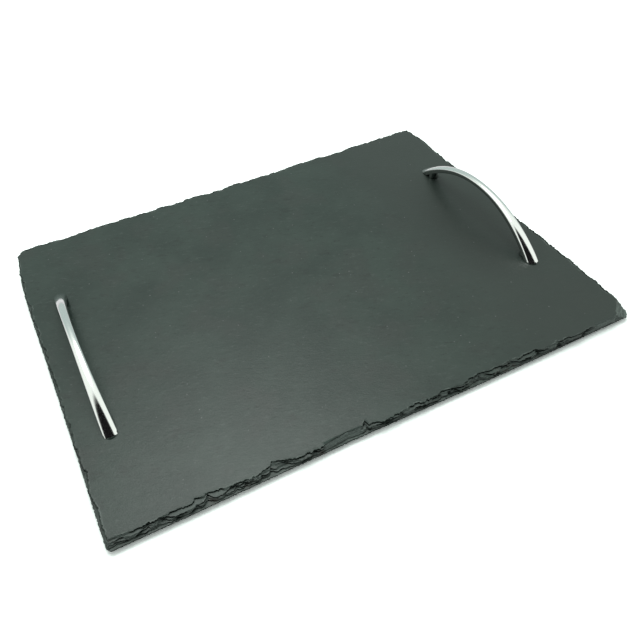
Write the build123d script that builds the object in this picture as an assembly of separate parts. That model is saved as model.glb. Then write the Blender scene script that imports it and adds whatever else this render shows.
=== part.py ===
from build123d import *
import math
import os
import random

# Slate serving board with a chrome bow handle at each short side.
# Millimetres, +Z up. The origin lies on the table under the middle of the board; X runs along the board.

# Slate: plan size, how far in the left edge runs by its back end, and the three beds of its split edge, from below
board_length = 400.0
board_width = 300.0
left_edge_taper = 3.0
lower_bed = 2.4
middle_bed = 1.8
upper_bed = 1.8

# Chipped edge: the range of each bed's bites, and the ledge that is left at least between one bed and the next.
# The lower bed's bites start this far outside the rectangle, so that flat lands stay between them.
land_depth = 0.2
ledge_width = 0.4
lower_bite_length = (14.0, 40.0)
lower_bite_depth = (0.4, 0.6)
middle_bite_length = (8.0, 28.0)
middle_bite_depth = (0.2, 0.6)
upper_bite_length = (8.0, 26.0)
upper_bite_depth = (0.3, 2.2)
edge_seed = 17

# The upper bed's bites along the front edge, from its left end: length, and depth behind the bed's own line
front_bites = (
    (9, 2.6), (22, 0.4), (20, 1.5), (22, 3.2), (14, 0.8), (9, 1.2), (17, 6.0), (8, 1.8), (16, 1.0), (35, 4.4),
    (10, 0.9), (13, 0.5), (23, 1.2), (31, 1.0), (23, 0.4), (24, 0.5), (33, 0.4), (26, 0.5), (18, 0.4), (27, 0.8),
)

# Knocked corners: leg of each cut, through the whole slate, and of the flake above the lower bed
front_left_corner = 3.0
front_right_corner = 5.0
back_left_corner = 9.0
back_right_corner = 3.0
corner_flake = 6.0

# Handles: centre lines behind the short edges, how far each sits off the middle, holes, bow and section
left_handle_inset = 25.7
right_handle_inset = 27.5
left_handle_shift = 0.8
right_handle_shift = 2.8
hole_pitch = 128.0
tip_overhang = 14.4
handle_rise = 29.2
bow_power = 2.1
middle_width = 5.9
end_width = 11.4
middle_thickness = 4.2
end_thickness = 6.0
rim_height = 3.2
under_rounding = 1.2
post_wall = 1.95
bore_roof = 2.2

# Screws and washers
screw_radius = 2.0
head_overhang = 2.0
head_height = 2.4
head_rounding = 1.1
recess_length = 4.4
recess_width = 1.1
recess_depth = 1.4
tip_chamfer = 0.5
washer_band = 2.35
washer_thickness = 0.8
counterbore_depth = 2.2

# Fits
thread_clearance = 0.05
washer_clearance = 0.15
hole_clearance = 0.5
counterbore_clearance = 0.75
tip_clearance = 0.6

# Feet
foot_radius = 9.0
foot_height = 3.0
foot_rounding = 0.8
foot_inset_x = 34.0
foot_inset_y = 28.0

# Worked out from the above
board_thickness = lower_bed + middle_bed + upper_bed
lower_setback = -land_depth
middle_setback = lower_setback + lower_bite_depth[1] + ledge_width
upper_setback = middle_setback + middle_bite_depth[1] + ledge_width
slate_bottom = foot_height
slate_top = slate_bottom + board_thickness
left_handle_x = left_handle_inset - board_length / 2
right_handle_x = board_length / 2 - right_handle_inset
half_pitch = hole_pitch / 2
half_span = half_pitch + tip_overhang
bore_radius = screw_radius + thread_clearance
post_radius = bore_radius + post_wall
hole_radius = screw_radius + hole_clearance
washer_bore_radius = screw_radius + washer_clearance
washer_radius = washer_bore_radius + washer_band
head_radius = screw_radius + head_overhang
counterbore_radius = washer_radius + counterbore_clearance
washer_seat = slate_bottom + counterbore_depth
head_seat = washer_seat - washer_thickness

bow_stations = 15
bow_run_on = 1.12
beyond_board = 12.0


def crest_height(share):
    """Height of the bow's outer crest above the slate, at a share of the half span."""
    return handle_rise * (1 - abs(share) ** bow_power)


bore_depth = crest_height((half_pitch + bore_radius) / half_span) - bore_roof
screw_length = slate_top + bore_depth - tip_clearance - head_seat


# Slate

def random_bites(generator, lengths, depths):
    """Endless bites, most of them shallow and a few deep."""
    while True:
        depth_share = generator.random() ** 2
        depth = depths[0] + (depths[1] - depths[0]) * depth_share
        yield generator.uniform(*lengths), depth


def listed_bites(bites):
    """The listed bites, over and over."""
    while True:
        yield from bites


def edge_strip(edge_length, setback, bites):
    """Plan of what is chipped off one edge: the edge lies on local X, the slate on its +Y side."""
    start = -edge_length / 2
    end = edge_length / 2
    lines = [Line((start - beyond_board, -beyond_board), (start - beyond_board, setback))]
    lines.append(Line((start - beyond_board, setback), (start, setback)))
    at = start
    while at < end:
        length, depth = next(bites)
        lines.append(ThreePointArc((at, setback), (at + length / 2, setback + depth), (at + length, setback)))
        at += length
    last = at + beyond_board
    lines.append(Line((at, setback), (last, setback)))
    lines.append(Line((last, setback), (last, -beyond_board)))
    lines.append(Line((last, -beyond_board), (start - beyond_board, -beyond_board)))
    return make_face(lines)


def corner_chip(x_side, y_side, leg, floor):
    """Wedge that is knocked off one corner, from the given height up."""
    corner_x = x_side * board_length / 2
    corner_y = y_side * board_width / 2
    out_x = corner_x + x_side * beyond_board
    out_y = corner_y + y_side * beyond_board
    plan = make_face(Polyline(
        (corner_x - x_side * (leg + beyond_board), out_y),
        (out_x, corner_y - y_side * (leg + beyond_board)),
        (out_x, out_y),
        close=True,
    ))
    return Pos(0, 0, floor) * extrude(plan, slate_top - floor + beyond_board, dir=(0, 0, 1))


def slate_board():
    """One split slate: a slab whose edges are chipped back bed by bed, drilled for the handles."""
    slab = Pos(0, 0, slate_bottom) * Box(
        board_length, board_width, board_thickness, align=(Align.CENTER, Align.CENTER, Align.MIN)
    )
    generator = random.Random(edge_seed)
    middle_floor = slate_bottom + lower_bed
    upper_floor = middle_floor + middle_bed
    beds = (
        (slate_bottom - beyond_board, lower_setback, lower_bite_length, lower_bite_depth),
        (middle_floor, middle_setback, middle_bite_length, middle_bite_depth),
        (upper_floor, upper_setback, upper_bite_length, upper_bite_depth),
    )
    tapers = (0, 0, 0, left_edge_taper)
    chips = []
    for floor, setback, lengths, depths in beds:
        for quarter, taper in enumerate(tapers):
            along, across = (board_length, board_width) if quarter % 2 == 0 else (board_width, board_length)
            bites = random_bites(generator, lengths, depths)
            if floor == upper_floor and quarter == 0:
                bites = listed_bites(front_bites)
            plan = edge_strip(along, setback, bites)
            strip = extrude(plan, slate_top - floor + beyond_board, dir=(0, 0, 1))
            turn = math.degrees(math.atan(taper / along))
            on_edge = Pos(0, (taper - across) / 2, floor) * Rot(0, 0, -turn)
            chips.append(Rot(0, 0, 90 * quarter) * on_edge * strip)
    through = slate_bottom - beyond_board
    corners = (
        (-1, -1, front_left_corner),
        (1, -1, front_right_corner),
        (-1, 1, back_left_corner),
        (1, 1, back_right_corner),
    )
    for x_side, y_side, leg in corners:
        chips.append(corner_chip(x_side, y_side, leg, through))
        chips.append(corner_chip(x_side, y_side, leg + corner_flake, middle_floor))
    board = slab - chips
    for x, y in hole_places().values():
        hole = Cylinder(hole_radius, board_thickness, align=(Align.CENTER, Align.CENTER, Align.MIN))
        counterbore = Cylinder(counterbore_radius, counterbore_depth, align=(Align.CENTER, Align.CENTER, Align.MIN))
        board -= Pos(x, y, slate_bottom) * (hole + counterbore)
    return board


def hole_places():
    """The four handle holes, named by the corner that each is nearest to."""
    return {
        "front_left": (left_handle_x, left_handle_shift - half_pitch),
        "back_left": (left_handle_x, left_handle_shift + half_pitch),
        "front_right": (right_handle_x, right_handle_shift - half_pitch),
        "back_right": (right_handle_x, right_handle_shift + half_pitch),
    }


# Handles

def bow_frame(share):
    """A point on the bow's crest, and the plane across the bow there with local Y pointing outwards."""
    y = share * half_span
    slope = -handle_rise * bow_power * abs(share) ** (bow_power - 1) * math.copysign(1, share) / half_span
    return Plane(origin=(0, y, slate_top + crest_height(share)), x_dir=(-1, 0, 0), z_dir=(0, 1, slope))


def bow_size(share):
    """Width and thickness of the bow, which flares towards its ends."""
    flare = share ** 2
    width = middle_width + (end_width - middle_width) * flare
    thickness = middle_thickness + (end_thickness - middle_thickness) * flare
    return width, thickness


def bow_section(share):
    """D-shaped section: flat underneath with rounded edges, a low rim each side, a round crown outside."""
    width, thickness = bow_size(share)
    half = width / 2
    flat = half - under_rounding
    shoulder = rim_height - thickness
    round_top = under_rounding - thickness
    across_round = flat + under_rounding * math.sin(math.pi / 4)
    down_round = round_top - under_rounding * math.sin(math.pi / 4)
    outline = [
        Line((-flat, -thickness), (flat, -thickness)),
        ThreePointArc((flat, -thickness), (across_round, down_round), (half, round_top)),
        Line((half, round_top), (half, shoulder)),
        ThreePointArc((half, shoulder), (0, 0), (-half, shoulder)),
        Line((-half, shoulder), (-half, round_top)),
        ThreePointArc((-half, round_top), (-across_round, down_round), (-flat, -thickness)),
    ]
    return bow_frame(share) * make_face(outline)


def bow_handle(x, shift):
    """Bow pull: the arched bar, cut off by the slate's top, with a tapped post inside each end."""
    shares = [bow_run_on * (2 * i / (bow_stations - 1) - 1) for i in range(bow_stations)]
    bow = loft([bow_section(share) for share in shares])
    middle_line = []
    for share in shares:
        across = bow_frame(share)
        point = across.origin - across.y_dir * (bow_size(share)[1] / 2)
        middle_line.append((point.Y, point.Z))
    arch = Spline(*middle_line)
    below = make_face([arch, Line(middle_line[-1], middle_line[0])])
    under_bow = extrude(Plane.YZ * below, 2 * post_radius, both=True)
    handle = bow
    for y in (-half_pitch, half_pitch):
        post = Cylinder(post_radius, handle_rise, align=(Align.CENTER, Align.CENTER, Align.MIN))
        handle += (Pos(0, y, slate_top) * post) & under_bow
    keep = Pos(0, 0, slate_top) * Box(
        2 * end_width, 2 * half_span * bow_run_on, 2 * handle_rise, align=(Align.CENTER, Align.CENTER, Align.MIN)
    )
    handle = handle & keep
    for y in (-half_pitch, half_pitch):
        bore = Cylinder(bore_radius, bore_depth, align=(Align.CENTER, Align.CENTER, Align.MIN))
        handle -= Pos(0, y, slate_top) * bore
    return Pos(x, shift, 0) * handle


# Screws, washers and feet

def handle_screw():
    """Pan-head screw with a cross recess, head down; its seat is at height 0."""
    head = Cylinder(head_radius, head_height, align=(Align.CENTER, Align.CENTER, Align.MAX))
    head = fillet(head.edges().sort_by(Axis.Z)[0], head_rounding)
    shank = Cylinder(screw_radius, screw_length, align=(Align.CENTER, Align.CENTER, Align.MIN))
    shank = chamfer(shank.edges().sort_by(Axis.Z)[-1], tip_chamfer)
    slot = Box(recess_length, recess_width, recess_depth, align=(Align.CENTER, Align.CENTER, Align.MIN))
    recess = Pos(0, 0, -head_height) * (slot + Rot(0, 0, 90) * slot)
    return head + shank - recess


def washer():
    """Plain washer; its top face is at height 0."""
    disc = Cylinder(washer_radius, washer_thickness, align=(Align.CENTER, Align.CENTER, Align.MAX))
    hole = Cylinder(washer_bore_radius, washer_thickness, align=(Align.CENTER, Align.CENTER, Align.MAX))
    return disc - hole


def foot():
    """Round rubber pad, standing on the table, with its lower rim rounded."""
    pad = Cylinder(foot_radius, foot_height, align=(Align.CENTER, Align.CENTER, Align.MIN))
    return fillet(pad.edges().sort_by(Axis.Z)[0], foot_rounding)


def foot_places():
    """The four pads, named by their corners."""
    x = board_length / 2 - foot_inset_x
    y = board_width / 2 - foot_inset_y
    return {"front_left": (-x, -y), "back_left": (-x, y), "front_right": (x, -y), "back_right": (x, y)}


pieces = {
    "slate_board": slate_board(),
    "left_handle": bow_handle(left_handle_x, left_handle_shift),
    "right_handle": bow_handle(right_handle_x, right_handle_shift),
}
for corner, (x, y) in hole_places().items():
    pieces[corner + "_screw"] = Pos(x, y, head_seat) * handle_screw()
    pieces[corner + "_washer"] = Pos(x, y, washer_seat) * washer()
for corner, (x, y) in foot_places().items():
    pieces[corner + "_foot"] = Pos(x, y, 0) * foot()

os.makedirs("parts", exist_ok=True)
for name, piece in pieces.items():
    export_step(piece, "parts/" + name + ".step")
print("screw length", round(screw_length, 2), "bore depth", round(bore_depth, 2))
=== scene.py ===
import bisect
import math

import bmesh
import bpy
from mathutils import Matrix, Vector, noise


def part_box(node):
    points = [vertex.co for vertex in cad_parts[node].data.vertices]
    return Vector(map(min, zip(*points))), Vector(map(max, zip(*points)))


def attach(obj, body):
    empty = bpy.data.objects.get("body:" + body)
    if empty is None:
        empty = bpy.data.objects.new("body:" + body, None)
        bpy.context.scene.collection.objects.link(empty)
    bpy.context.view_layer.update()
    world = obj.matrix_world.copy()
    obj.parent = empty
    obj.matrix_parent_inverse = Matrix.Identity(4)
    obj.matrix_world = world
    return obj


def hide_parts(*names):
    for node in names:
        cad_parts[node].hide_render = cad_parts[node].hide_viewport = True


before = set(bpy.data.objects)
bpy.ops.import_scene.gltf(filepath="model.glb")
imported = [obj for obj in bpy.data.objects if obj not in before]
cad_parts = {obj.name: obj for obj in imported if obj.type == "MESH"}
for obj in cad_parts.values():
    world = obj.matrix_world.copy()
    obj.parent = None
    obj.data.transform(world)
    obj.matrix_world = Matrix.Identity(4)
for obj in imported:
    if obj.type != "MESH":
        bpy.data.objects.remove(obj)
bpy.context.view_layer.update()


# Slate board
# One sheet of split slate, riven on both faces and knapped by hand along its edges, so that its thin beds
# step back in chipped terraces. Holes for the handles' screws go through it, counterbored from below.
mm = 0.001
slate_low, slate_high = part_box("slate_board")
slate_length = slate_high.x - slate_low.x
slate_width = slate_high.y - slate_low.y
edge_spacing = 0.5 * mm
on_edge = edge_spacing / 4

# Tops of the beds above the underside; the last bed reaches the riven top. Each bed below it steps out by up
# to this share of the way to the foot, in chips of about this length. A bed's broken face takes so much
# painted shade, and the crack under it, painted dark as well, gapes more often the higher its bias.
bed_tops = (1.4 * mm, 2.4 * mm, 3.5 * mm, 4.8 * mm, slate_high.z - slate_low.z)
top_bed = len(bed_tops) - 1
bed_steps = (1.0, 0.6, 0.6, 0.7)
chip_lengths = (9 * mm, 11 * mm, 8 * mm, 13 * mm)
bed_painted_shades = (0.75, 0.5, 0.25, 0.15, 0.15)
gape_biases = (-1.0, 0.0, -0.06, 0.0, 0.2)

# How the beds step back, more evenly near a corner, and how their tops wave and fall
chip_sharpness = 2.4
even_step = 0.45
corner_fade = 14 * mm
bed_wave = 0.4 * mm
bed_wave_scale = 9 * mm
ledge_fall = 0.1 * mm

# How a bed's face leans out or is undercut, and the crack beneath it, whose painted shade leaves a share
# of the ledge bare
face_lean = 0.5
undercut = 1.4 * mm
gape_length = 9 * mm
gape_sharpness = 4.0
gape_cover = 0.5
crack_shade_width = 0.2 * mm
gaping_crack_shade = 1.3 * mm
bare_ledge = 0.3

# How rough the broken faces are, from coarse to fine
corner_ragged = 0.9 * mm
corner_ragged_scale = 4.5 * mm
flake = 0.9 * mm
flake_scale = 3.6 * mm
ragged = 0.45 * mm
ragged_scale = 1.5 * mm
hackle = 0.2 * mm
hackle_scale = 0.9 * mm

# Bites out of the arris and the foot, beyond what is listed for them
nibble = 1.2 * mm
nibble_scale = 7 * mm
fine_nibble = 0.6 * mm
fine_nibble_scale = 2.2 * mm
foot_nibble = 0.3 * mm
notch = 0.7 * mm
notch_length = 4.5 * mm
notch_drift = 5 * mm
notch_drift_scale = 2 * notch_length

# The worn arris, the broken rim of the underside, and the height and cut at which a bed's face breaks
arris_width = 0.8 * mm
arris_fall = 0.2 * mm
lip_fall = arris_fall / 3
underside_break = 0.4 * mm
foot_break = 0.15
face_break = 0.6
face_break_cut = 0.4

# The top arris of each edge, anticlockwise from the front left corner: millimetres along the edge and inwards
front_arris = (
    (0, 4.2), (8, 4.2), (16, 3.2), (29, 3.4), (40, 4.2), (54, 4.3), (55, 6.0), (60, 5.8), (70, 4.6),
    (80, 3.2), (89, 3.0), (90, 2.0), (99, 4.2), (105, 4.6), (107, 7.4), (110, 7.0), (115, 4.0), (124, 2.0),
    (139, 2.6), (152, 5.2), (172, 5.5), (175, 7.0), (176, 2.1), (182, 2.4), (185, 0.6), (189, 2.0),
    (197, 2.0), (207, 3.2), (214, 2.9), (219, 1.4), (221, 2.4), (233, 3.6), (245, 2.8), (250, 1.8),
    (258, 4.2), (265, 4.8), (273, 2.6), (286, 3.2), (298, 2.4), (307, 3.6), (313, 3.0), (319, 1.6),
    (333, 2.2), (344, 1.2), (350, 0.3), (364, 1.0), (384, 1.4), (400, 3.0),
)
right_arris = (
    (0, 1.5), (15, 0.5), (25, 1.2), (35, 0.0), (45, 0.5), (55, 0.0), (65, 0.3), (75, 0.1), (85, 1.0),
    (95, 0.0), (105, 0.0), (115, 0.9), (130, 0.6), (145, 0.0), (160, 0.5), (175, 0.0), (195, 0.6),
    (212, 0.0), (225, 0.2), (245, 0.3), (255, 0.8), (265, 0.3), (275, 0.0), (285, 1.1), (295, 2.6),
    (300, 3.0),
)
back_arris = (
    (0, 0.2), (30, 0.0), (48, 0.6), (58, 0.0), (78, 1.3), (86, 0.8), (94, 2.3), (98, 1.4), (102, 0.0),
    (134, 0.2), (158, 2.0), (174, 1.6), (194, 0.0), (202, 1.8), (208, 2.8), (222, 2.0), (238, 0.0),
    (246, 1.4), (258, 1.6), (266, 0.0), (274, 0.8), (298, 0.8), (314, 0.0), (322, 0.4), (334, 0.0),
    (354, 1.1), (374, 0.0), (400, 0.4),
)
left_arris = (
    (0, 2.0), (14, 2.4), (30, 1.4), (44, 2.2), (60, 1.0), (75, 2.0), (82, 0.8), (104, 1.7), (120, 1.1),
    (131, 2.4), (140, 1.3), (158, 2.2), (170, 3.2), (176, 1.4), (195, 2.0), (214, 2.8), (220, 1.6),
    (238, 2.3), (252, 3.8), (262, 1.8), (280, 3.0), (300, 3.3),
)

# The foot of each edge, in the same way
front_foot = (
    (0, 0.0), (60, 0.2), (100, 0.6), (165, 1.0), (215, 0.6), (260, 0.2), (310, 0.1), (350, 0.4), (400, 0.6),
)
right_foot = ((0, 0.0), (300, 0.2))
back_foot = ((0, 0.0), (200, 0.3), (400, 0.0))
left_foot = (
    (0, 5.2), (15, 4.0), (25, 2.8), (36, 0.8), (75, 0.1), (115, 0.4), (165, 0.9), (230, 1.1), (300, 1.0),
)

# The legs of the knocked corners, on the lowest bed and on the top one
corner_legs = {
    (-1, -1): (3.5 * mm, 3 * mm),
    (1, -1): (4.5 * mm, 17.5 * mm),
    (-1, 1): (12 * mm, 12 * mm),
    (1, 1): (2 * mm, 3 * mm),
}

# How wide the broken lip of the top is on the front, right, back and left, and how much painted shade its
# patches take
lip_widths = (0.3 * mm, 1.5 * mm, 1.7 * mm, 0.8 * mm)
lip_painted_shades = (0.4, 0.9, 0.9, 0.55)
lip_patch = 6 * mm
lip_cover = 0.65
lip_sharpness = 2.5

# Stretches that split off on a slope: the edge, from here to here along it, and over which length that fades.
# One is a long chip of the front edge, and the others are the two sides of its worn right corner. A slope
# takes hold over so many beds from the foot up.
long_chip = (0, 140 * mm, 174 * mm, 4 * mm)
worn_end = (0, 356 * mm, 430 * mm, 12 * mm)
worn_corner = (1, -30 * mm, 20 * mm, 8 * mm)
slope_onset = 3


def drift(point, scale, layer):
    """Smooth noise between -1 and 1 at a point, with swells of about the scale, in a layer of its own."""
    return noise.noise(point / scale + Vector(layer))


def listed_inset(points, distance):
    """How far in an arris or a foot stands, straight from one listed point to the next."""
    index = min(bisect.bisect([at * mm for at, inset in points], distance), len(points) - 1)
    (start, before), (end, after) = points[index - 1:index + 1]
    return (before + (after - before) * (distance / mm - start) / (end - start)) * mm


class KnappedEdge:
    """One edge of the slate: its line in plan, and how far in each of its beds stands."""

    def __init__(self, corner, along, length, foot, arris):
        self.corner = Vector(corner)
        self.along = Vector(along)
        self.inward = Vector((-self.along.y, self.along.x, 0))
        self.length = length
        self.foot = foot
        self.arris = arris
        self.first = self.insets(0)
        self.last = self.insets(length)

    def insets(self, distance):
        """How far in each bed stands, from the lowest one up."""
        plan = self.corner + self.along * distance
        bitten = abs(drift(plan, nibble_scale, (2, 6, 0)))
        finely_bitten = abs(drift(plan, fine_nibble_scale, (8, 1, 4)))
        shifted = plan + self.along * notch_drift * drift(plan, notch_drift_scale, (0, 0, 0))
        notched = noise.cell(shifted / notch_length)
        foot = listed_inset(self.foot, distance) + foot_nibble * bitten
        reach = listed_inset(self.arris, distance)
        reach += nibble * bitten + fine_nibble * finely_bitten + notch * notched
        reach = max(reach, foot)
        stack = [reach]
        from_corner = min(min(distance, self.length - distance) / corner_fade, 1)
        for bed in reversed(range(top_bed)):
            lens = abs(drift(plan, chip_lengths[bed], (0, 0, 11 * bed)))
            step = even_step + (min(chip_sharpness * lens, 1) - even_step) * from_corner
            reach -= (reach - foot) * bed_steps[bed] * step
            stack.insert(0, reach)
        stack[0] = foot
        return stack


half_length = slate_length / 2
half_width = slate_width / 2
edges = [
    KnappedEdge((-half_length, -half_width, 0), (1, 0, 0), slate_length, front_foot, front_arris),
    KnappedEdge((half_length, -half_width, 0), (0, 1, 0), slate_width, right_foot, right_arris),
    KnappedEdge((half_length, half_width, 0), (-1, 0, 0), slate_length, back_foot, back_arris),
    KnappedEdge((-half_length, half_width, 0), (0, -1, 0), slate_width, left_foot, left_arris),
]

# The plan rectangle as a loop of short edges; each vertex keeps its number, which tells its station
slate = bmesh.new()
bmesh.ops.create_grid(slate, x_segments=1, y_segments=1, size=0.5)
bmesh.ops.delete(slate, geom=slate.faces[:], context="FACES_ONLY")
bmesh.ops.scale(slate, vec=(slate_length, slate_width, 1), verts=slate.verts)
for side in slate.edges[:]:
    bmesh.ops.subdivide_edges(slate, edges=[side], cuts=round(side.calc_length() / edge_spacing) - 1)

number = slate.verts.layers.int.new("number")
broken_mark = slate.faces.layers.float.new("broken")
painted_shade_mark = slate.faces.layers.float.new("painted_shade")
arris_mark = slate.faces.layers.float.new("arris")


class Station:
    """A place on the plan rectangle's outline: its edge, the distance along it and each bed's inset there."""

    def __init__(self, point):
        self.plan = point.copy()
        for index, edge in enumerate(edges):
            offset = point - edge.corner
            distance = offset.dot(edge.along)
            if abs(offset.dot(edge.inward)) < on_edge and -on_edge < distance < edge.length:
                self.index = index
                self.distance = max(distance, 0)
        self.edge = edges[self.index]
        self.before = edges[self.index - 1]
        self.after = edges[(self.index + 1) % len(edges)]
        self.insets = self.edge.insets(self.distance)
        self.chip = self.share_in(*long_chip)
        self.slope = max(self.chip, self.share_in(*worn_end), self.share_in(*worn_corner))
        self.gapes = [self.gape(bed) for bed in range(top_bed + 1)]

    def share_in(self, index, start, end, fade):
        """1 within a stretch of one edge and 0 outside it, fading at its ends."""
        inside = min(self.distance - start, end - self.distance) / fade
        return min(max(inside, 0), 1) if self.index == index else 0

    def gape(self, bed):
        """How far the crack under a bed gapes, undercut and darkened with painted shade: 0 where the bed's
        face runs down onto the ledge, up to 1.
        """
        opened = drift(self.plan, gape_length, (5, 3, 17 * bed)) + gape_biases[bed]
        gaping = gape_cover + gape_sharpness * opened
        from_corner = min(self.distance, self.edge.length - self.distance) / corner_fade
        return min(max(gaping, 0), 1) * min(from_corner, 1) * (1 - self.sloping(bed))

    def sloping(self, bed):
        """How far a bed's face is part of a slope, which takes the lowest beds only partly."""
        return self.slope * min((bed + 1) / slope_onset, 1)

    def painted_shade(self, bed):
        """How much painted shade a bed's broken face takes: its bed's share, and more where the crack gapes.
        """
        return bed_painted_shades[bed] * (1 - self.sloping(bed)) + (1 - bed_painted_shades[bed]) * self.gapes[bed]

    def lip_painted_shade(self):
        """How much painted shade the broken lip of the top takes, in patches along the edge."""
        patchy = lip_cover + lip_sharpness * drift(self.plan, lip_patch, (1, 9, 4))
        return lip_painted_shades[self.index] * min(max(patchy, 0), 1) * (1 - self.slope)

    def bed_top(self, bed):
        """Height of a bed's top above the underside, waving a little."""
        if bed < 0:
            return 0
        wave = bed_wave * drift(self.plan, bed_wave_scale, (0, 0, 3 * bed))
        return bed_tops[bed] + wave * (bed < top_bed)

    def overhang(self, bed):
        """How far the foot of a bed's face stands in: undercut where the crack gapes, or else leaning out."""
        step = self.insets[bed] - self.insets[bed - 1]
        leaning = -face_lean * step
        return leaning + (undercut - leaning) * self.gapes[bed]

    def point(self, bed, height, extra_inset):
        """A point of a bed's broken face, at a height above the underside."""
        sloped = self.insets[0] + (self.insets[-1] - self.insets[0]) * height / bed_tops[-1]
        inset = self.insets[bed] + extra_inset
        inset += flake * abs(drift(self.plan, flake_scale, (6, 0, 7 * bed))) * (bed > 0)
        inset += (sloped - inset) * self.sloping(bed)
        inset += ragged * drift(self.plan, ragged_scale, (0, 0, 5 * bed))
        first = self.before.last[bed]
        last = self.after.first[bed]
        run = first + self.distance / self.edge.length * (self.edge.length - first - last)
        place = self.edge.corner + self.edge.along * run + self.edge.inward * max(inset, 0)
        level = bed / top_bed
        level += (height / bed_tops[-1] - level) * self.sloping(bed)
        roughened = corner_ragged * drift(self.plan, corner_ragged_scale, (7, 0, bed))
        for (x_side, y_side), (low_leg, high_leg) in corner_legs.items():
            reach = low_leg + (high_leg - low_leg) * level + roughened
            left_over = half_length - x_side * place.x + half_width - y_side * place.y
            push = max(reach - left_over, 0) / 2
            place.x -= x_side * push
            place.y -= y_side * push
        place.z = slate_low.z + height
        return place

    def wall_point(self, bed, share, cut_back):
        """A point a share of the way up a bed's face, which is cut back by a share of its overhang."""
        low = self.bed_top(bed - 1)
        height = low + (self.bed_top(bed) - low) * share
        rough = hackle * drift(self.plan, hackle_scale, (4, bed, 9))
        return self.point(bed, height, cut_back * self.overhang(bed) + rough * (0 < share < 1))

    def lip_point(self, bed):
        """The outer lip of a bed's ledge, a little lower than the ledge's root."""
        return self.point(bed, self.bed_top(bed) - ledge_fall, 0)

    def crack_point(self, bed):
        """A point of the ledge under a bed's face, where the painted shade in the corner begins."""
        start = self.lip_point(bed - 1)
        along_ledge = self.wall_point(bed, 0, 1) - start
        width = crack_shade_width + (gaping_crack_shade - crack_shade_width) * self.gapes[bed]
        return start + along_ledge * max(1 - width / max(along_ledge.length, width), bare_ledge)


stations = []
for vertex in slate.verts:
    vertex[number] = len(stations)
    stations.append(Station(vertex.co))

# A ledge is cleaved like the top, so it takes only a little of the broken tone
ledge_break = 0.3


def extruded(shape, ring):
    """Extrudes a ring of edges in place; returns the new ring and its vertices."""
    grown = bmesh.ops.extrude_edge_only(shape, edges=ring)["geom"]
    fresh = {item for item in grown if isinstance(item, bmesh.types.BMVert)}
    edge_items = [item for item in grown if isinstance(item, bmesh.types.BMEdge)]
    return [edge for edge in edge_items if fresh.issuperset(edge.verts)], fresh


def grow(ring, place, broken, painted_shade):
    """Extrudes the slate's ring, puts each new vertex at its station's place and marks the new faces, painted
    shade too.
    """
    new_ring, fresh = extruded(slate, ring)
    for vertex in fresh:
        vertex.co = place(stations[vertex[number]])
    for edge in new_ring:
        station = stations[edge.verts[0][number]]
        for face in edge.link_faces:
            face[broken_mark] = broken + (1 - broken) * station.slope
            face[painted_shade_mark] = painted_shade(station)
    return new_ring


# The rings, from the underside's broken rim up over each bed's face and ledge to the worn top arris, each
# ring's faces with their painted shade
underside_ring = slate.edges[:]
for vertex in slate.verts:
    vertex.co = stations[vertex[number]].point(0, 0, underside_break)
ring = grow(
    underside_ring, lambda station: station.wall_point(0, foot_break, 0), 1, lambda station: station.painted_shade(0),
)
for bed in range(top_bed + 1):
    if bed > 0:
        ring = grow(ring, lambda station: station.crack_point(bed), ledge_break, lambda station: 0)
        ring = grow(
            ring, lambda station: station.wall_point(bed, 0, 1), 1, lambda station: station.gapes[bed],
        )
        ring = grow(
            ring, lambda station: station.wall_point(bed, face_break, face_break_cut), 1,
            lambda station: station.painted_shade(bed),
        )
    if bed < top_bed:
        ring = grow(ring, lambda station: station.lip_point(bed), 1, lambda station: station.painted_shade(bed))
top_height = bed_tops[top_bed]
ring = grow(
    ring, lambda station: station.point(top_bed, top_height - arris_fall, 0), 1,
    lambda station: max(station.painted_shade(top_bed), station.chip),
)
ring = grow(
    ring, lambda station: station.point(top_bed, top_height - lip_fall, lip_widths[station.index]), 0,
    lambda station: station.lip_painted_shade(),
)
ring = grow(
    ring, lambda station: station.point(top_bed, top_height, lip_widths[station.index] + arris_width), 0,
    lambda station: 0,
)
for edge in ring:
    for face in edge.link_faces:
        face[arris_mark] = 1

# The two riven faces: filled, cut into a grid and let down a little by the relief of the cleavage
top_grid = 2.5 * mm
underside_grid = 10 * mm
relief_depth = 0.07 * mm
swell_length = 34 * mm
swell_width = 22 * mm
ripples_per_swell = 4
ripple_share = 0.4


def riven_relief(point):
    """How far the cleavage lies below the highest level of a face, from broad swells and small ripples."""
    swells = Vector((point.x / swell_length, point.y / swell_width, 0))
    broad = noise.noise(swells + Vector((3, 8, 1)))
    small = noise.noise(swells * ripples_per_swell + Vector((9, 2, 5)))
    return relief_depth * (1 + broad + ripple_share * (1 + small))


def cut_face(ring, spacing, inwards):
    """Fills a ring, cuts the face into a grid and moves it inwards by the relief; returns its faces."""
    face = bmesh.ops.edgeloop_fill(slate, edges=ring)["faces"][0]
    parts = [face] + face.edges[:] + face.verts[:]
    for axis, half in ((Vector((1, 0, 0)), half_length), (Vector((0, 1, 0)), half_width)):
        steps = int(half / spacing)
        for step in range(-steps, steps + 1):
            plane_point = axis * (step + 0.5) * spacing
            cut = bmesh.ops.bisect_plane(slate, geom=parts, plane_co=plane_point, plane_no=axis)
            parts = cut["geom"]
    for vertex in {item for item in parts if isinstance(item, bmesh.types.BMVert)}:
        vertex.co.z += inwards * riven_relief(vertex.co)
    faces = [item for item in parts if isinstance(item, bmesh.types.BMFace)]
    for face in faces:
        face.smooth = True
    return faces


top_faces = cut_face(ring, top_grid, -1)
underside_faces = cut_face(underside_ring, underside_grid, 1)

# Screw holes with their counterbores
hole_radius = 2.5 * mm
counterbore_clearance = 0.75 * mm
hole_segments = 40
cleared_radii = 2
seam_gap = 0.01 * mm


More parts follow.
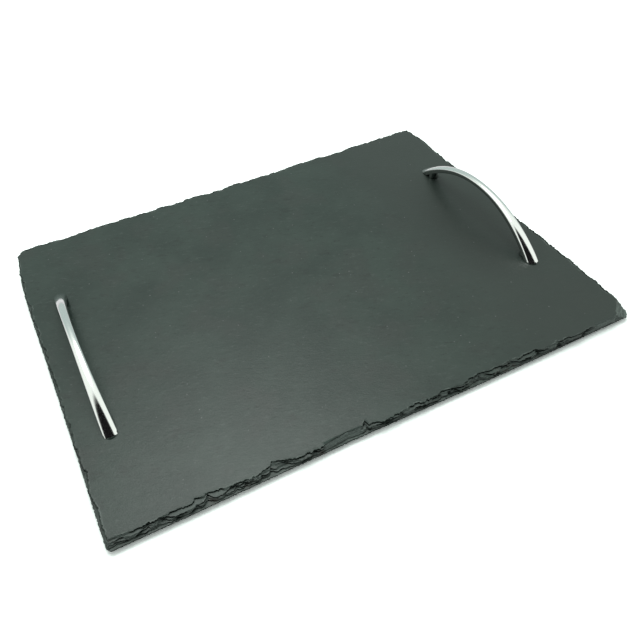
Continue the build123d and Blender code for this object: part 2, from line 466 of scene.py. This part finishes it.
def open_face(faces, centre, reach, radius):
    """Clears the faces round a hole and closes the gap down to its circle; returns the circle's edges."""
    near = []
    for face in faces:
        if face.is_valid:
            offset = face.calc_center_median() - centre
            if max(abs(offset.x), abs(offset.y)) < reach:
                near.append(face)
    patch = bmesh.ops.dissolve_faces(slate, faces=near, use_verts=True)["region"]
    rim = [edge for face in patch for edge in face.edges]
    bmesh.ops.delete(slate, geom=patch, context="FACES_ONLY")
    circle = bmesh.ops.create_circle(
        slate, cap_ends=False, segments=hole_segments, radius=radius, matrix=Matrix.Translation(centre),
    )
    circle_edges = list({edge for vertex in circle["verts"] for edge in vertex.link_edges})
    bmesh.ops.bridge_loops(slate, edges=rim + circle_edges)
    return circle_edges


def push_ring(ring, lift, widen, centre):
    """Extrudes a hole's ring up by a height and to a width, and returns the new ring."""
    new_ring, fresh = extruded(slate, ring)
    bmesh.ops.scale(slate, vec=(widen, widen, 1), space=Matrix.Translation(-centre), verts=list(fresh))
    bmesh.ops.translate(slate, vec=(0, 0, lift), verts=list(fresh))
    return new_ring


corner_names = ("front_left", "back_left", "front_right", "back_right")
for corner_name in corner_names:
    washer_low, washer_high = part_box(corner_name + "_washer")
    middle = (washer_low + washer_high) / 2
    counterbore_radius = (washer_high.x - washer_low.x) / 2 + counterbore_clearance
    below = Vector((middle.x, middle.y, slate_low.z))
    above = Vector((middle.x, middle.y, slate_high.z))
    top_circle = open_face(top_faces, above, cleared_radii * hole_radius, hole_radius)
    bore_ring = open_face(underside_faces, below, cleared_radii * counterbore_radius, counterbore_radius)
    bore_ring = push_ring(bore_ring, washer_high.z - slate_low.z, 1, below)
    bore_ring = push_ring(bore_ring, 0, hole_radius / counterbore_radius, below)
    bore_ring = push_ring(bore_ring, slate_high.z - washer_high.z, 1, below)
    seam = {vertex for edge in top_circle + bore_ring for vertex in edge.verts}
    bmesh.ops.remove_doubles(slate, verts=list(seam), dist=seam_gap)

bmesh.ops.recalc_face_normals(slate, faces=slate.faces)


class Shade:
    """A value in a material or the world: sums and products on it add Math nodes."""

    def __init__(self, tree, socket=None):
        self.tree = tree
        self.socket = socket

    def node(self, kind, settings, inputs, output=0):
        """Adds one node: its settings first, then the values or links of its sockets."""
        added = self.tree.nodes.new("ShaderNode" + kind)
        for name, setting in settings.items():
            setattr(added, name, setting)
        for name, value in inputs.items():
            if isinstance(value, Shade):
                self.tree.links.new(value.socket, added.inputs[name])
            else:
                added.inputs[name].default_value = value
        return Shade(self.tree, added.outputs[output])

    def calculate(self, operation, first, second):
        """Adds one Math node for two values."""
        return self.node("Math", {"operation": operation}, {0: first, 1: second})

    def __add__(self, other):
        return self.calculate("ADD", self, other)

    def __radd__(self, other):
        return self.calculate("ADD", other, self)

    def __sub__(self, other):
        return self.calculate("SUBTRACT", self, other)

    def __rsub__(self, other):
        return self.calculate("SUBTRACT", other, self)

    def __mul__(self, other):
        return self.calculate("MULTIPLY", self, other)

    def __rmul__(self, other):
        return self.calculate("MULTIPLY", other, self)


def mixed(share, first, second):
    """A colour on the way from the first to the second; a Mix node has its colours at 6 and 7, and at 2."""
    return share.node("Mix", {"data_type": "RGBA"}, {0: share, 6: first, 7: second}, output=2)


def ramped(value, start, end):
    """0 up to the start and 1 from the end on, with a soft change between them."""
    limits = {"Value": value, "From Min": start, "From Max": end}
    return value.node("MapRange", {"interpolation_type": "SMOOTHSTEP"}, limits)


def cloudy(coordinates, size, detail=4.0, roughness=0.55):
    """Noise whose patches are about the given size across."""
    settings = {"Vector": coordinates, "Scale": 1 / size, "Detail": detail, "Roughness": roughness}
    return coordinates.node("TexNoise", {}, settings)


def stretched(coordinates, scale, turn=0.0):
    """Coordinates scaled along each axis, and then turned about the upright."""
    settings = {"Vector": coordinates, "Scale": scale, "Rotation": (0, 0, turn)}
    return coordinates.node("Mapping", {}, settings)


def new_finish(name, **constants):
    """A material with its shader's fixed values; returns it, a first Shade and the shader's sockets."""
    material = bpy.data.materials.new(name)
    material.use_nodes = True
    surface = material.node_tree.nodes["Principled BSDF"]
    for socket, value in constants.items():
        surface.inputs[socket.replace("_", " ")].default_value = value
    return material, Shade(material.node_tree), surface.inputs


def feed(sockets, name, shade):
    """Links a value to one of the shader's sockets."""
    shade.tree.links.new(shade.socket, sockets[name])


# Colours of the slate, from its cleaved faces to the painted shade in its cracks
slate_dark = (0.0185, 0.0345, 0.0275, 1)
slate_pale = (0.030, 0.051, 0.041, 1)
slate_brown = (0.031, 0.042, 0.036, 1)
# Dark smudges and strokes, and the painted shadow beside the right handle
slate_smudge_and_shadow = (0.010, 0.016, 0.013, 1)
slate_speck = (0.15, 0.165, 0.16, 1)
slate_seam = (0.040, 0.056, 0.048, 1)
slate_facet = (0.130, 0.172, 0.152, 1)
slate_rust = (0.072, 0.048, 0.042, 1)
slate_ledge = (0.080, 0.104, 0.092, 1)
# The arris: paler from wear and from a painted highlight
slate_worn_arris_and_highlight = (0.125, 0.160, 0.142, 1)
slate_painted_shade = (0.004, 0.004, 0.004, 1)

# How large its patterns are and how they stretch, along a grain that lies askew
grain_turn = math.radians(22)
cloud_size = 45 * mm
mottle_size = 7 * mm
stroke_size = 5 * mm
stroke_stretch = (1, 2.6, 2)
grain_size = 1.8 * mm
grain_stretch = (1, 1.8, 2)
brown_size = 32 * mm
smudge_size = 17 * mm
smudge_stretch = (1, 1.8, 1)
speck_size = 6 * mm
speck_patch_size = 14 * mm
lamina_size = 1.1 * mm
lamina_stretch = (0.12, 0.12, 4)
rust_size = 12 * mm

# Where the browner end begins and is full, and where the painted shadow of the right handle lies and from
# where it fades in
brown_end = (60 * mm, 150 * mm)
handle_shadow_stretch = (1, 0.6, 0)
handle_shadow_place = (160 * mm, -2 * mm, 0)
handle_shadow_reach = (62 * mm, 12 * mm)

# The values of a pattern at which it begins to show and is full
cloud_limits = (0.3, 0.7)
brown_limits = (0.5, 0.68)
smudge_limits = (0.60, 0.74)
dark_stroke_limits = (0.43, 0.28)
pale_stroke_limits = (0.56, 0.72)
speck_limits = (0.11, 0.05)
speck_patch_limits = (0.5, 0.62)
lamina_limits = (0.38, 0.56)
rust_limits = (0.6, 0.72)
arris_limits = (0.45, 0.65)

# How strongly each shows where it is full
brown_share = 0.6
brown_end_share = 0.75
smudge_share = 0.45
dark_stroke_share = 0.75
pale_stroke_share = 0.45
handle_shadow_share = 0.6
speck_share = 0.8
rust_share = 0.6
arris_wear_and_highlight_share = 0.6

# Sheen and relief of the surface
slate_ior = 1.5
polish = 0.25
mottle_roughness = 0.08
grain_roughness = 0.12
broken_roughness = 0.25
stroke_relief = 0.6
grain_relief = 0.4
mottle_relief = 0.2
lamina_relief = 0.5
relief_strength = 0.6
relief_height = 0.3 * mm

slate_finish, shade, sockets = new_finish("riven_slate", IOR=slate_ior)
place = shade.node("TexCoord", {}, {}, output="Object")
along_grain = stretched(place, (1, 1, 1), turn=grain_turn)

# The cleaved faces: clouds, brown patches, smudges, and strokes along the grain
clouds = cloudy(place, cloud_size, detail=3.0)
mottle = cloudy(place, mottle_size, detail=5.0, roughness=0.6)
strokes = cloudy(stretched(along_grain, stroke_stretch), stroke_size, detail=4.0, roughness=0.7)
fine_grain = cloudy(stretched(along_grain, grain_stretch), grain_size, detail=3.0, roughness=0.7)
colour = mixed(ramped(clouds, *cloud_limits), slate_dark, slate_pale)
brown_patch = ramped(cloudy(place, brown_size, detail=2.0), *brown_limits)
colour = mixed(brown_share * brown_patch, colour, slate_brown)
smudges = cloudy(stretched(along_grain, smudge_stretch), smudge_size, detail=3.0)
colour = mixed(smudge_share * ramped(smudges, *smudge_limits), colour, slate_smudge_and_shadow)
dark_strokes = ramped(strokes, *dark_stroke_limits)
pale_strokes = ramped(strokes, *pale_stroke_limits)
colour = mixed(dark_stroke_share * dark_strokes, colour, slate_smudge_and_shadow)
colour = mixed(pale_stroke_share * pale_strokes, colour, slate_ledge)

# The browner right end, a painted shadow beside the right handle, and pale specks
along_board = place.node("SeparateXYZ", {}, {0: place}, output="X")
colour = mixed(brown_end_share * ramped(along_board, *brown_end), colour, slate_brown)
handle_shadow_ends = {0: stretched(place, handle_shadow_stretch), 1: handle_shadow_place}
from_handle_shadow = place.node("VectorMath", {"operation": "DISTANCE"}, handle_shadow_ends, output="Value")
colour = mixed(handle_shadow_share * ramped(from_handle_shadow, *handle_shadow_reach), colour, slate_smudge_and_shadow)
cells = place.node("TexVoronoi", {}, {"Vector": place, "Scale": 1 / speck_size})
speck_patch = ramped(cloudy(place, speck_patch_size, detail=1.0), *speck_patch_limits)
speck = ramped(cells, *speck_limits) * speck_patch
colour = mixed(speck_share * speck, colour, slate_speck)

# The broken edges: thin laminae with some rust, pale along the arris from wear and a painted highlight, and
# painted shade that is black in the cracks and also makes the face metallic, so that it takes no diffuse
# light
laminae = cloudy(stretched(place, lamina_stretch), lamina_size, detail=4.0, roughness=0.7)
rust = ramped(cloudy(place, rust_size, detail=2.0), *rust_limits)
broken_tone = mixed(ramped(laminae, *lamina_limits), slate_seam, slate_facet)
broken_tone = mixed(rust_share * rust, broken_tone, slate_rust)
broken = place.node("Attribute", {"attribute_name": "broken"}, {}, output="Fac")
painted_shade = place.node("Attribute", {"attribute_name": "painted_shade"}, {}, output="Fac")
arris = place.node("Attribute", {"attribute_name": "arris"}, {}, output="Fac")
colour = mixed(broken, colour, broken_tone)
colour = mixed(arris_wear_and_highlight_share * arris * ramped(mottle, *arris_limits), colour, slate_worn_arris_and_highlight)
colour = mixed(painted_shade, colour, slate_painted_shade)
feed(sockets, "Base Color", colour)
feed(sockets, "Metallic", painted_shade)
grain_sheen = mottle_roughness * mottle + grain_roughness * fine_grain
feed(sockets, "Roughness", polish + grain_sheen + broken_roughness * broken)
relief = stroke_relief * strokes + grain_relief * fine_grain + mottle_relief * mottle
relief = relief + lamina_relief * broken * laminae
bumps = relief.node("Bump", {}, {"Strength": relief_strength, "Distance": relief_height, "Height": relief})
feed(sockets, "Normal", bumps)


def finished(shape, name, material, slot, *nodes):
    """Turns a bmesh into a piece that rides on the part, takes the finish and stands for the nodes; the slot
    is not used.
    """
    mesh = bpy.data.meshes.new(name)
    shape.to_mesh(mesh)
    shape.free()
    mesh.materials.append(material)
    piece = bpy.data.objects.new(name, mesh)
    bpy.context.scene.collection.objects.link(piece)
    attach(piece, "root")
    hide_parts(*nodes)


finished(slate, "riven_slate_board", slate_finish, "slate", "slate_board")


# Bow handles
# A chrome-plated zinc casting on each short side: a bow that is slim in the middle and broad at its ends,
# with a flat underside, and two short posts that the screws are driven into from below.

# The crest falls with this power of the way to the ends, where the section is thicker and its crown rounder
bow_power = 2.1
middle_width = 5.9 * mm
middle_thickness = 4.2 * mm
end_thickness = 6.0 * mm
middle_sag = 0.9 * mm
end_sag = 2.3 * mm
sag_power = 4
side_lean = 0.25 * mm
shoulder = 0.9 * mm
under_rounding = 0.7 * mm

# How finely the bow is drawn, and how far it runs on before the slate's top cuts it off
crown_points = 14
curve_steps = 6
bow_stations = 96
bow_run_on = 1.12
seating_rounds = 6

# The posts, whose upper ends reach a little way into the bow
hole_pitch = 128 * mm
post_radius = 4.0 * mm
post_bore = 2.05 * mm
post_root = 0.4 * mm
post_rounding = 0.3 * mm
post_stub = 3 * post_rounding
post_segments = 48


def curve(start, corner, end):
    """Points of a rounded corner."""
    points = []
    for step in range(curve_steps + 1):
        share = step / curve_steps
        points.append(start * (1 - share) ** 2 + corner * (2 * share * (1 - share)) + end * share ** 2)
    return points


class Bow:
    """The bow of one handle, in the handle's own place."""

    def __init__(self, node):
        low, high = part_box(node)
        self.middle = (low + high) / 2
        self.half_span = (high.y - low.y) / 2
        self.end_width = high.x - low.x
        self.rise = high.z - slate_high.z

    def crest(self, share):
        """The outer crest at a share of the half span."""
        height = self.rise * (1 - abs(share) ** bow_power)
        return Vector((self.middle.x, self.middle.y + share * self.half_span, slate_high.z + height))

    def outward(self, share):
        """The direction square to the crest, away from the slate."""
        slope = self.rise * bow_power * abs(share) ** (bow_power - 1) / self.half_span
        return Vector((0, math.copysign(slope, share), 1)).normalized()

    def thickness(self, share):
        """From the crest straight in to the flat underside."""
        return middle_thickness + (end_thickness - middle_thickness) * share * share

    def section(self, share):
        """The section, across and up from the crest: a low crown, sides that lean in and a flat underside."""
        half = (middle_width + (self.end_width - middle_width) * share * share) / 2
        thick = self.thickness(share)
        sag = middle_sag + (end_sag - middle_sag) * min(share ** sag_power, 1)
        radius = ((half - side_lean) ** 2 + sag * sag) / (2 * sag)
        spread = math.asin((half - side_lean) / radius) - shoulder / radius
        one_side = []
        for step in range(crown_points):
            angle = spread * step / crown_points
            one_side.append(Vector((radius * math.sin(angle), radius * (math.cos(angle) - 1))))
        crown_end = Vector((radius * math.sin(spread), radius * (math.cos(spread) - 1)))
        ridge = Vector((half - side_lean, -sag))
        rim = Vector((half, -thick))
        down = (rim - ridge).normalized()
        one_side += curve(crown_end, ridge, ridge + down * shoulder)
        one_side += curve(rim - down * under_rounding, rim, rim - Vector((under_rounding, 0)))
        other_side = [Vector((-point.x, point.y)) for point in one_side[1:]]
        return other_side[::-1] + one_side

    def place(self, share, across, up):
        """Where a point of the section lies."""
        return self.crest(share) + Vector((across, 0, 0)) + self.outward(share) * up

    def underside(self, y):
        """Height of the flat underside over a place on the slate."""
        share = (y - self.middle.y) / self.half_span
        for _ in range(seating_rounds):
            point = self.place(share, 0, -self.thickness(share))
            share += (y - point.y) / self.half_span
        return point.z


# The chrome's colour, and a darker one that paints shade on the bow's sides and underside and on the posts
chrome_bright = (0.93, 0.94, 0.94, 1)
chrome_painted_shade = (0.30, 0.33, 0.32, 1)
smear_size = 12 * mm
smear_limits = (0.45, 0.75)
buffing_size = 4 * mm
buffing_stretch = (14, 1, 1)
ripple_size = 5 * mm
ripple_height = 0.1 * mm
ripple_strength = 0.03
chrome_roughness = 0.09
smear_roughness = 0.06
buffing_roughness = 0.04

chrome, shade, sockets = new_finish("polished_chrome", Metallic=1.0)
place = shade.node("TexCoord", {}, {}, output="Object")
# The painted shade marked on the mesh darkens the chrome there
painted_dark_side = place.node("Attribute", {"attribute_name": "painted_dark_side"}, {}, output="Fac")
feed(sockets, "Base Color", mixed(painted_dark_side, chrome_bright, chrome_painted_shade))
smears = ramped(cloudy(place, smear_size, detail=4.0), *smear_limits)
buffing = cloudy(stretched(place, buffing_stretch), buffing_size, detail=3.0)
feed(sockets, "Roughness", chrome_roughness + smear_roughness * smears + buffing_roughness * buffing)
waviness = cloudy(place, ripple_size)
waves = {"Strength": ripple_strength, "Distance": ripple_height, "Height": waviness}
ripple = place.node("Bump", {}, waves)
feed(sockets, "Normal", ripple)

for handle_node in ("left_handle", "right_handle"):
    bow = Bow(handle_node)
    handle = bmesh.new()
    shares = [bow_run_on * (2 * step / bow_stations - 1) for step in range(bow_stations + 1)]
    section = bow.section(shares[0])
    bmesh.ops.create_circle(handle, cap_ends=False, segments=len(section), radius=1)
    place_in_section = handle.verts.layers.int.new("place_in_section")
    painted_dark_side_mark = handle.verts.layers.float.new("painted_dark_side")
    # The sides and underside of the bow take painted shade; its crown does not
    unshaded_section_end = crown_points + curve_steps - 1
    for index, vertex in enumerate(handle.verts):
        vertex[place_in_section] = index
        vertex[painted_dark_side_mark] = abs(index - len(section) // 2) > unshaded_section_end
        vertex.co = bow.place(shares[0], *section[index])
    ring = handle.edges[:]
    for share in shares[1:]:
        section = bow.section(share)
        ring, fresh = extruded(handle, ring)
        for vertex in fresh:
            vertex.co = bow.place(share, *section[vertex[place_in_section]])
    for face in handle.faces:
        face.smooth = True
    everything = handle.verts[:] + handle.edges[:] + handle.faces[:]
    seat = (0, 0, slate_high.z)
    bmesh.ops.bisect_plane(handle, geom=everything, plane_co=seat, plane_no=(0, 0, 1), clear_inner=True)
    open_rims = [edge for edge in handle.edges if edge.is_boundary]
    bmesh.ops.edgeloop_fill(handle, edges=open_rims)
    for side in (-1, 1):
        centre = Vector((bow.middle.x, bow.middle.y + side * hole_pitch / 2, slate_high.z))
        older = set(handle.verts)
        bottom = [(post_bore, 0), (post_radius - post_rounding, 0), (post_radius, post_rounding)]
        top = [(post_radius, post_stub), (post_bore, post_stub)]
        corners = [handle.verts.new(centre + Vector((out, 0, up))) for out, up in bottom + top]
        outline = [handle.edges.new(pair) for pair in zip(corners, corners[1:] + corners[:1])]
        bmesh.ops.spin(
            handle, geom=corners + outline, cent=centre, axis=(0, 0, 1), angle=2 * math.pi,
            steps=post_segments, use_merge=True,
        )
        # The posts take painted shade all over
        for vertex in set(handle.verts) - older:
            vertex[painted_dark_side_mark] = 1
            if vertex.co.z > centre.z + post_stub - post_rounding:
                vertex.co.z = bow.underside(vertex.co.y) + post_root
    bmesh.ops.recalc_face_normals(handle, faces=handle.faces)
    finished(handle, handle_node.replace("handle", "bow_handle"), chrome, "handle_chrome", handle_node)


# Screws and washers
# Zinc-plated steel pan-head screws, driven up through plain washers into the handles' posts. They sit
# sunk in the slate's counterbores and show only from below.
zinc_bright = (0.62, 0.63, 0.64, 1)
zinc_dull = (0.42, 0.43, 0.45, 1)
spangle_size = 1.6 * mm
spangle_limits = (0.35, 0.65)
zinc_roughness = 0.28
spangle_roughness = 0.2
tooling_strength = 0.15
tooling_height = 0.05 * mm

zinc, shade, sockets = new_finish("zinc_plated_steel", Metallic=1.0)
place = shade.node("TexCoord", {}, {}, output="Object")
spangle = cloudy(place, spangle_size, detail=5.0, roughness=0.6)
feed(sockets, "Base Color", mixed(ramped(spangle, *spangle_limits), zinc_dull, zinc_bright))
feed(sockets, "Roughness", zinc_roughness + spangle_roughness * spangle)
marks = {"Strength": tooling_strength, "Distance": tooling_height, "Height": spangle}
tooling = place.node("Bump", {}, marks)
feed(sockets, "Normal", tooling)

for corner_name in corner_names:
    for part_name in ("_screw", "_washer"):
        node_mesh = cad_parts[corner_name + part_name].data
        node_mesh.materials.clear()
        node_mesh.materials.append(zinc)


# Feet
# Four round rubber pads, moulded with a rounded rim and a shallow ring on the face that grips the table,
# and stuck to the underside near the corners.
foot_rounding = 0.8 * mm
rounding_segments = 5
groove_width = 1.2 * mm
groove_depth = 0.4 * mm
fine_rounding = 0.16 * mm
fine_segments = 2
foot_segments = 64
pole_gap = 0.005 * mm
rubber_black = (0.018, 0.018, 0.019, 1)
rubber_grey = (0.04, 0.04, 0.041, 1)
dust_size = 3 * mm
dust_limits = (0.45, 0.75)
rubber_roughness = 0.55
dust_roughness = 0.25
pore_size = 0.5 * mm
pore_depth = 0.1 * mm
pore_strength = 0.3

rubber, shade, sockets = new_finish("black_rubber")
place = shade.node("TexCoord", {}, {}, output="Object")
dust = cloudy(place, dust_size, detail=5.0, roughness=0.65)
feed(sockets, "Base Color", mixed(ramped(dust, *dust_limits), rubber_black, rubber_grey))
feed(sockets, "Roughness", rubber_roughness + dust_roughness * dust)
pores = cloudy(place, pore_size)
pitted = place.node("Bump", {}, {"Strength": pore_strength, "Distance": pore_depth, "Height": pores})
feed(sockets, "Normal", pitted)

for corner_name in corner_names:
    foot_low, foot_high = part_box(corner_name + "_foot")
    foot_radius = (foot_high.x - foot_low.x) / 2
    foot_height = foot_high.z - foot_low.z
    centre = Vector(((foot_low.x + foot_high.x) / 2, (foot_low.y + foot_high.y) / 2, foot_low.z))
    inner = foot_radius / 2
    outer = inner + groove_width
    foot = bmesh.new()
    profile = [(0, 0), (inner, 0), (inner, groove_depth), (outer, groove_depth), (outer, 0)]
    profile += [(foot_radius, 0), (foot_radius, foot_height), (0, foot_height)]
    points = [foot.verts.new((out, 0, up)) for out, up in profile]
    for first, second in zip(points, points[1:]):
        foot.edges.new((first, second))
    *groove_corners, lower_rim, upper_rim = points[1:-1]
    roundings = (
        ([lower_rim], foot_rounding, rounding_segments),
        (groove_corners + [upper_rim], fine_rounding, fine_segments),
    )
    for corners, radius, segments in roundings:
        bmesh.ops.bevel(
            foot, geom=corners, offset=radius, segments=segments, profile=0.5, material=-1, affect="VERTICES",
        )
    bmesh.ops.spin(
        foot, geom=foot.verts[:] + foot.edges[:], cent=(0, 0, 0), axis=(0, 0, 1), angle=2 * math.pi,
        steps=foot_segments, use_merge=True,
    )
    bmesh.ops.remove_doubles(foot, verts=foot.verts, dist=pole_gap)
    bmesh.ops.translate(foot, vec=centre, verts=foot.verts)
    bmesh.ops.recalc_face_normals(foot, faces=foot.faces)
    for face in foot.faces:
        face.smooth = True
    finished(foot, corner_name + "_rubber_foot", rubber, "foot_rubber", corner_name + "_foot")


# Studio
# A white floor that keeps the board's shadow, white surroundings that polished faces mirror as a room with a
# dark side and a dull one, a soft light above and behind the board, and the camera of the photograph.
floor_size = 8.0
floor_white = (0.86, 0.86, 0.86, 1)
sky_colour = (0.5, 0.5, 0.5, 1)
backdrop_white = (1, 1, 1, 1)

# How the camera sees the floor: near the board, and further out, between these distances from its middle
floor_seen = (1.71, 1.87, 1.79, 1)
floor_far = (2.4, 2.4, 2.4, 1)
far_reach = (0.6, 1.3)

# The mirrored room: white, dark towards the camera beyond two limits, and hazy and dull lower down behind
mirrored_white = (0.94, 1.0, 0.93, 1)
dark_tilt = 0.53
dark_depth = (-0.13, -0.25)
dark_colour = (0.006, 0.006, 0.006, 1)
dull_heading = Vector((0.37, 0.93, 0)).normalized()
dull_spread = (math.cos(math.radians(66)), math.cos(math.radians(46)))
haze_height = (0.84, 0.64)
haze_colour = (0.69, 0.78, 0.73, 1)
dull_height = (0.76, 0.50)
dull_colour = (0.47, 0.56, 0.53, 1)
level_only = (1, 1, 0)

# The soft light
key_place = Vector((0.01, 0.34, 1.2))
key_aim = Vector((0, 0, 0))
key_size = 0.9
key_power = 6.5
key_colour = (0.96, 1.0, 0.98)

floor_shape = bmesh.new()
bmesh.ops.create_grid(floor_shape, x_segments=1, y_segments=1, size=floor_size / 2)
floor_mesh = bpy.data.meshes.new("floor")
floor_shape.to_mesh(floor_mesh)
floor_shape.free()
floor = bpy.data.objects.new("floor", floor_mesh)
bpy.context.scene.collection.objects.link(floor)
paper = bpy.data.materials.new("white_paper")
paper.use_nodes = True
paper.node_tree.nodes.remove(paper.node_tree.nodes["Principled BSDF"])
shade = Shade(paper.node_tree)
camera_ray = shade.node("LightPath", {}, {}, output="Is Camera Ray")
place = shade.node("TexCoord", {}, {}, output="Object")
from_board = place.node("VectorMath", {"operation": "LENGTH"}, {0: place}, output="Value")
seen_white = mixed(ramped(from_board, *far_reach), floor_seen, floor_far)
white = mixed(camera_ray, floor_white, seen_white)
matte = white.node("BsdfDiffuse", {}, {"Color": white})
paper.node_tree.links.new(matte.socket, paper.node_tree.nodes["Material Output"].inputs["Surface"])
floor_mesh.materials.append(paper)

studio = bpy.data.worlds.new("studio")
studio.use_nodes = True
bpy.context.scene.world = studio
shade = Shade(studio.node_tree)
heading = shade.node("TexCoord", {}, {}, output="Generated")
height = heading.node("SeparateXYZ", {}, {0: heading}, output="Z")
level_heading = heading.node("VectorMath", {"operation": "MULTIPLY"}, {0: heading, 1: level_only})
level_heading = heading.node("VectorMath", {"operation": "NORMALIZE"}, {0: level_heading})


def zone(towards, spread, heights):
    """1 in the part of the surroundings that lies towards a heading and below a height, soft at its rim."""
    settings = {0: level_heading, 1: towards}
    nearness = heading.node("VectorMath", {"operation": "DOT_PRODUCT"}, settings, output="Value")
    return ramped(nearness, *spread) * ramped(height, *heights)


mirrored = mixed(zone(dull_heading, dull_spread, haze_height), mirrored_white, haze_colour)
mirrored = mixed(zone(dull_heading, dull_spread, dull_height), mirrored, dull_colour)
across = heading.node("SeparateXYZ", {}, {0: heading}, output="X")
depth = heading.node("SeparateXYZ", {}, {0: heading}, output="Y")
dark_side = ramped(depth, *dark_depth) * ramped(depth + dark_tilt * across, *dark_depth)
mirrored = mixed(dark_side, mirrored, dark_colour)
camera_ray = shade.node("LightPath", {}, {}, output="Is Camera Ray")
glossy_ray = shade.node("LightPath", {}, {}, output="Is Glossy Ray")
through_ray = shade.node("LightPath", {}, {}, output="Is Transmission Ray")
seen = camera_ray + through_ray
surroundings = mixed(glossy_ray, sky_colour, mirrored)
surroundings = mixed(seen, surroundings, backdrop_white)
background = studio.node_tree.nodes["Background"]
studio.node_tree.links.new(surroundings.socket, background.inputs["Color"])

key = bpy.data.lights.new("key", "AREA")
key.shape = "DISK"
key.size = key_size
key.energy = key_power
key.color = key_colour
key_lamp = bpy.data.objects.new("key", key)
key_lamp.location = key_place
key_lamp.rotation_euler = (key_aim - key_place).to_track_quat("-Z", "Y").to_euler()
bpy.context.scene.collection.objects.link(key_lamp)

# Camera: it stands this way from its target, turned a little about its own axis, with an off-centre crop
camera_target = Vector((-41.6 * mm, -80.0 * mm, slate_low.z))
camera_distance = 443.3 * mm
camera_azimuth = math.radians(-23.64)
camera_elevation = math.radians(50.0)
camera_roll = math.radians(-3.77)
image_pixels = 640
focal_pixels = 626.7
axis_pixel = (297.4, 372.2)
sensor_width = 36.0

back = Vector((
    math.sin(camera_azimuth) * math.cos(camera_elevation),
    -math.cos(camera_azimuth) * math.cos(camera_elevation),
    math.sin(camera_elevation),
))
level = Vector((math.cos(camera_azimuth), math.sin(camera_azimuth), 0))
upward = back.cross(level)
right = level * math.cos(camera_roll) + upward * math.sin(camera_roll)
up = back.cross(right)
view_camera = bpy.data.cameras.new("photo_camera")
view_camera.sensor_width = sensor_width
view_camera.lens = focal_pixels / image_pixels * sensor_width
view_camera.shift_x = 0.5 - axis_pixel[0] / image_pixels
view_camera.shift_y = axis_pixel[1] / image_pixels - 0.5
camera = bpy.data.objects.new("photo_camera", view_camera)
camera_axes = Matrix((right, up, back)).transposed().to_4x4()
camera.matrix_world = Matrix.Translation(camera_target + back * camera_distance) @ camera_axes
bpy.context.scene.collection.objects.link(camera)
bpy.context.scene.camera = camera
bpy.context.scene.view_settings.view_transform = "Standard"
